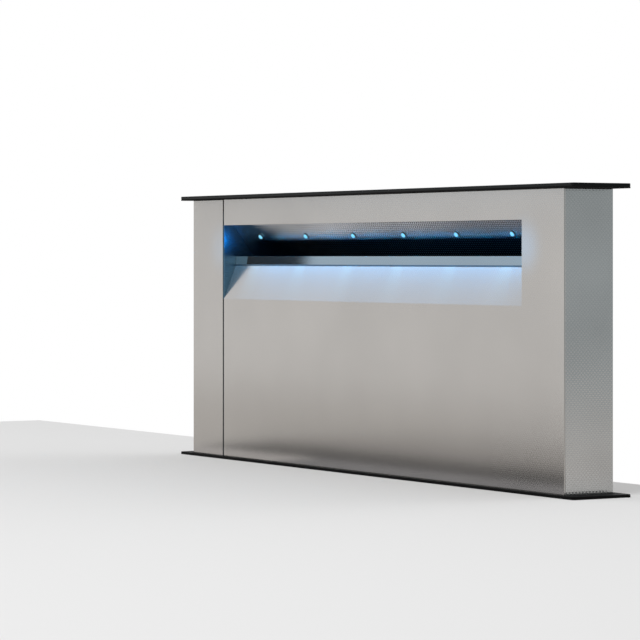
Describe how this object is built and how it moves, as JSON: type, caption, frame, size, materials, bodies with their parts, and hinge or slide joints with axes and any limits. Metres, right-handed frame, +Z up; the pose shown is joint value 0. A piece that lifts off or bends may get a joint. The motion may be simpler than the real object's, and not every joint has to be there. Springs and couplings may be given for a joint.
{
  "type": "downdraft vent",
  "caption": "Worktop downdraft vent: a slim steel riser with a lit, slanted air intake lifts from a flat black rim over a chassis with lift drive and blower.",
  "frame": {"origin": "centre of the worktop cut-out, at the underside of the rim where it lies on the worktop", "axes": "+X along the riser to its right end seen from the front, +Y to the back, +Z up; the riser is fully raised"},
  "size_m": [0.9606, 0.2583, 0.9069],
  "materials": {
    "brushed_steel": "fine brushed stainless steel",
    "satin_steel": "satin stainless steel with a fine pressed pattern",
    "black_glass": "polished black glass",
    "black_enamel": "black enamelled steel, satin",
    "galvanised": "galvanised sheet",
    "zinc": "zinc plated steel",
    "screw_steel": "ground steel",
    "pulley_aluminium": "machined aluminium",
    "filter_aluminium": "expanded aluminium mesh in an aluminium frame",
    "rubber": "black rubber",
    "black_plastic": "moulded black plastic",
    "grey_plastic": "moulded grey plastic",
    "white_nylon": "white nylon",
    "circuit_board": "green circuit board",
    "lamp_lens": "lit lens, cyan white"
  },
  "bodies": {
    "chassis": {"rim_frame": "black_enamel", "wiper_seal": "rubber", "chassis_front": "galvanised", "chassis_rear": "galvanised", "chassis_end_left": "galvanised", "chassis_end_right": "galvanised", "chassis_floor": "galvanised", "belt_cover": "galvanised", "guide_rail_left": "zinc", "guide_rail_right": "zinc", "worktop_bracket_left": "zinc", "worktop_bracket_right": "zinc", "screw_bearing_left": "black_plastic", "screw_bearing_right": "black_plastic", "lift_gearmotor": "zinc", "drive_belt": "rubber", "blower_box": "galvanised", "blower_cover": "galvanised", "scroll_rear": "black_plastic", "scroll_front": "black_plastic", "inlet_ring": "grey_plastic", "blower_motor": "zinc", "outlet_collar": "galvanised", "electronics_box": "black_plastic", "electronics_lid": "black_plastic", "control_board": "circuit_board", "mains_gland": "black_plastic"},
    "riser": {"left_post": "brushed_steel", "front_panel": "brushed_steel", "right_end_panel": "satin_steel", "rear_panel": "brushed_steel", "duct_wall_left": "satin_steel", "duct_wall_right": "satin_steel", "intake_plate": "satin_steel", "lamp_1": "lamp_lens", "lamp_2": "lamp_lens", "lamp_3": "lamp_lens", "lamp_4": "lamp_lens", "lamp_5": "lamp_lens", "lamp_6": "lamp_lens", "lamp_driver": "black_plastic", "grease_filter_left": "filter_aluminium", "grease_filter_right": "filter_aluminium", "drip_tray": "satin_steel", "nut_carrier_left": "zinc", "nut_carrier_right": "zinc", "guide_shoe_left": "white_nylon", "guide_shoe_right": "white_nylon", "cap_carrier": "black_enamel", "cap_glass": "black_glass", "touch_board": "circuit_board"},
    "screw_left": {"lead_screw_left": "screw_steel"},
    "screw_right": {"lead_screw_right": "screw_steel"},
    "motor_shaft": {"motor_pulley": "pulley_aluminium"},
    "fan": {"impeller": "grey_plastic"},
    "flap_front_leaf": {"flap_front": "pulley_aluminium"},
    "flap_rear_leaf": {"flap_rear": "pulley_aluminium"},
    "leg_left": {"support_leg_left": "zinc"},
    "leg_right": {"support_leg_right": "zinc"}
  },
  "joints": [
    {"name": "lift", "type": "slide", "parent": "chassis", "child": "riser", "axis": [0, 0, 1], "range_m": [-0.3375, 0]},
    {"name": "screw_left_turn", "type": "hinge", "parent": "chassis", "child": "screw_left", "pos_m": [-0.3825, 0, -0.25], "axis": [0, 0, 1], "range_deg": [0, 6080]},
    {"name": "screw_right_turn", "type": "hinge", "parent": "chassis", "child": "screw_right", "pos_m": [0.3841, 0, -0.25], "axis": [0, 0, 1], "range_deg": [0, 6080]},
    {"name": "motor_turn", "type": "hinge", "parent": "chassis", "child": "motor_shaft", "pos_m": [0, -0.018, -0.46], "axis": [0, 0, 1], "range_deg": [0, 8510]},
    {"name": "fan_spin", "type": "hinge", "parent": "chassis", "child": "fan", "pos_m": [0.03, -0.1, -0.3071], "axis": [0, 1, 0], "continuous": true},
    {"name": "flap_front_swing", "type": "hinge", "parent": "chassis", "child": "flap_front_leaf", "pos_m": [-0.1993, -0.1268, -0.2181], "axis": [0, 0, -1], "range_deg": [0, 80], "stiffness_Nm_per_rad": 0.02},
    {"name": "flap_rear_swing", "type": "hinge", "parent": "chassis", "child": "flap_rear_leaf", "pos_m": [-0.1993, -0.1268, -0.2181], "axis": [0, 0, 1], "range_deg": [0, 80], "stiffness_Nm_per_rad": 0.02},
    {"name": "leg_left_slide", "type": "slide", "parent": "chassis", "child": "leg_left", "axis": [0, 0, 1], "range_m": [-0.12, 0]},
    {"name": "leg_right_slide", "type": "slide", "parent": "chassis", "child": "leg_right", "axis": [0, 0, 1], "range_m": [-0.12, 0]}
  ],
  "couplings": [
    {"joint": "screw_left_turn", "follows": "lift", "rad_per_m": -314.16},
    {"joint": "screw_right_turn", "follows": "lift", "rad_per_m": -314.16},
    {"joint": "motor_turn", "follows": "lift", "rad_per_m": -439.82},
    {"joint": "flap_rear_swing", "follows": "flap_front_swing", "ratio": 1}
  ]
}
